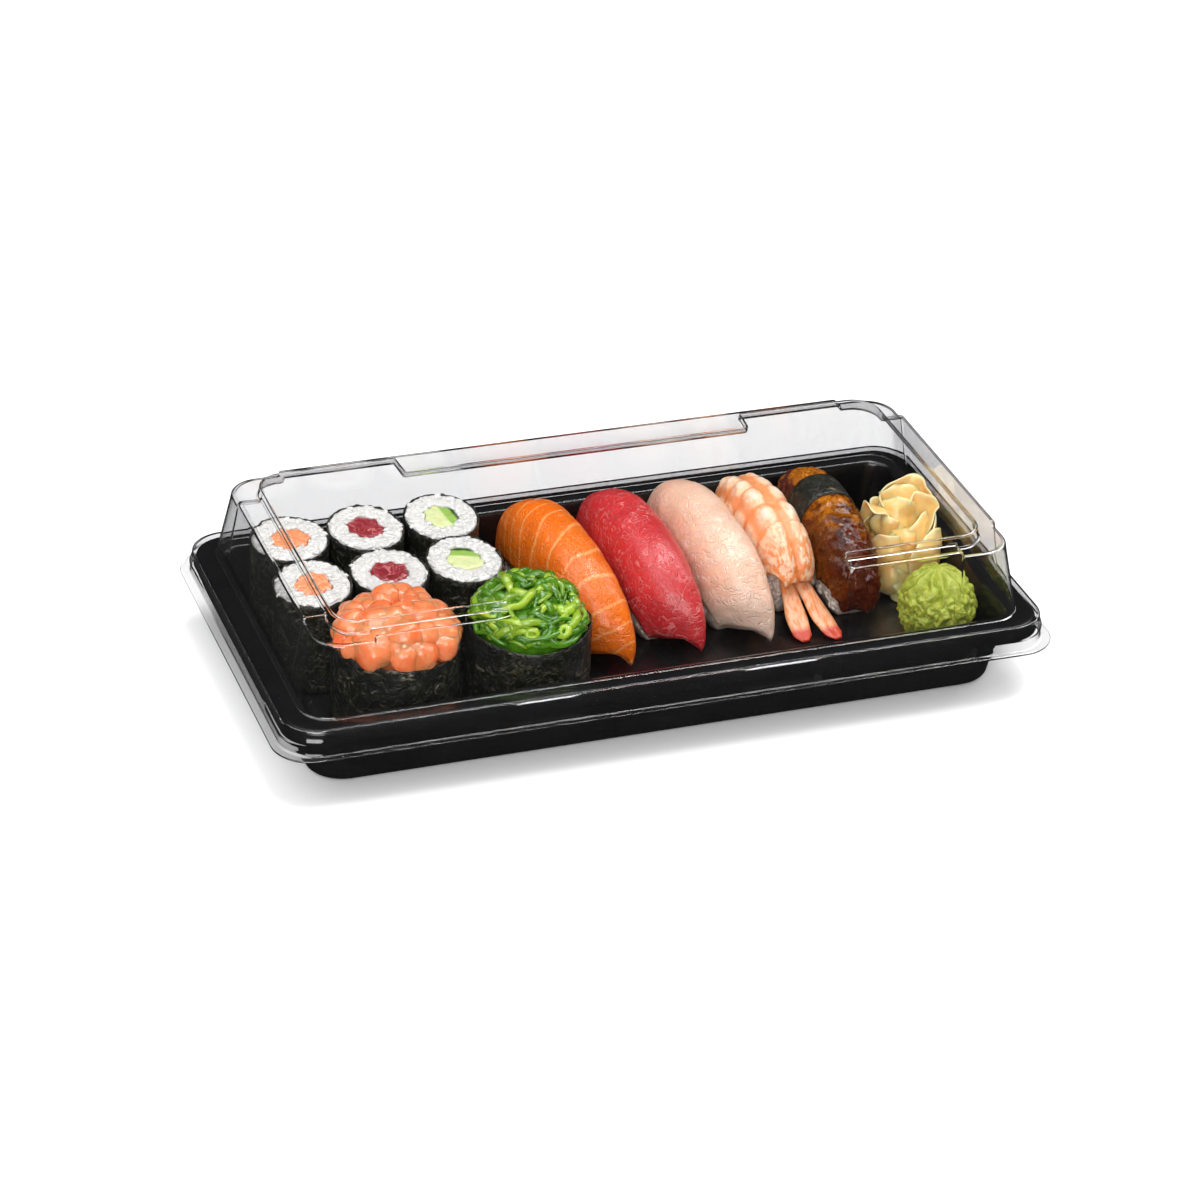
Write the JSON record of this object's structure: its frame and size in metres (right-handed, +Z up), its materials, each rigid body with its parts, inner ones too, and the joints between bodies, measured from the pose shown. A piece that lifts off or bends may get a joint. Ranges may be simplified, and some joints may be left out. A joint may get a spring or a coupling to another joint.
{
  "type": "takeaway sushi tray",
  "caption": "Black rectangular takeaway tray with a clear lift-off lid, holding small rolls, topped rolls, hand-pressed sushi, pickled ginger and wasabi.",
  "frame": {"origin": "bottom centre of the bounding box, on the surface the tray stands on", "axes": "+X along the long side, with the ginger and wasabi at the +X end; -Y is the front long side; +Z up"},
  "size_m": [0.2636, 0.1346, 0.0561],
  "materials": {
    "tray_black": "satin gloss",
    "lid_clear": "clear, glossy film",
    "nori": "dry, slightly shiny sheet",
    "rice": "moist grains",
    "salmon": "moist",
    "tuna": "moist",
    "cucumber": "moist",
    "salmon_pieces": "wet",
    "seaweed": "wet",
    "white_fish": "moist",
    "shrimp": "moist",
    "eel": "glazed",
    "ginger": "moist",
    "wasabi": "matte paste"
  },
  "bodies": {
    "root": {"tray": "tray_black", "lid": "lid_clear", "roll_salmon_back_nori": "nori", "roll_salmon_back_rice": "rice", "roll_salmon_back_salmon": "salmon", "roll_salmon_front_nori": "nori", "roll_salmon_front_rice": "rice", "roll_salmon_front_salmon": "salmon", "roll_tuna_back_nori": "nori", "roll_tuna_back_rice": "rice", "roll_tuna_back_tuna": "tuna", "roll_tuna_front_nori": "nori", "roll_tuna_front_rice": "rice", "roll_tuna_front_tuna": "tuna", "roll_cucumber_back_nori": "nori", "roll_cucumber_back_rice": "rice", "roll_cucumber_back_cucumber": "cucumber", "roll_cucumber_front_nori": "nori", "roll_cucumber_front_rice": "rice", "roll_cucumber_front_cucumber": "cucumber", "cup_salmon_nori": "nori", "cup_salmon_salmon": "salmon_pieces", "cup_seaweed_nori": "nori", "cup_seaweed_seaweed": "seaweed", "nigiri_salmon_rice": "rice", "nigiri_salmon": "salmon", "nigiri_tuna_rice": "rice", "nigiri_tuna": "tuna", "nigiri_whitefish_rice": "rice", "nigiri_whitefish": "white_fish", "nigiri_shrimp_rice": "rice", "nigiri_shrimp": "shrimp", "nigiri_eel_rice": "rice", "nigiri_eel": "eel", "nigiri_eel_nori": "nori", "ginger": "ginger", "wasabi": "wasabi"}
  },
  "joints": []
}
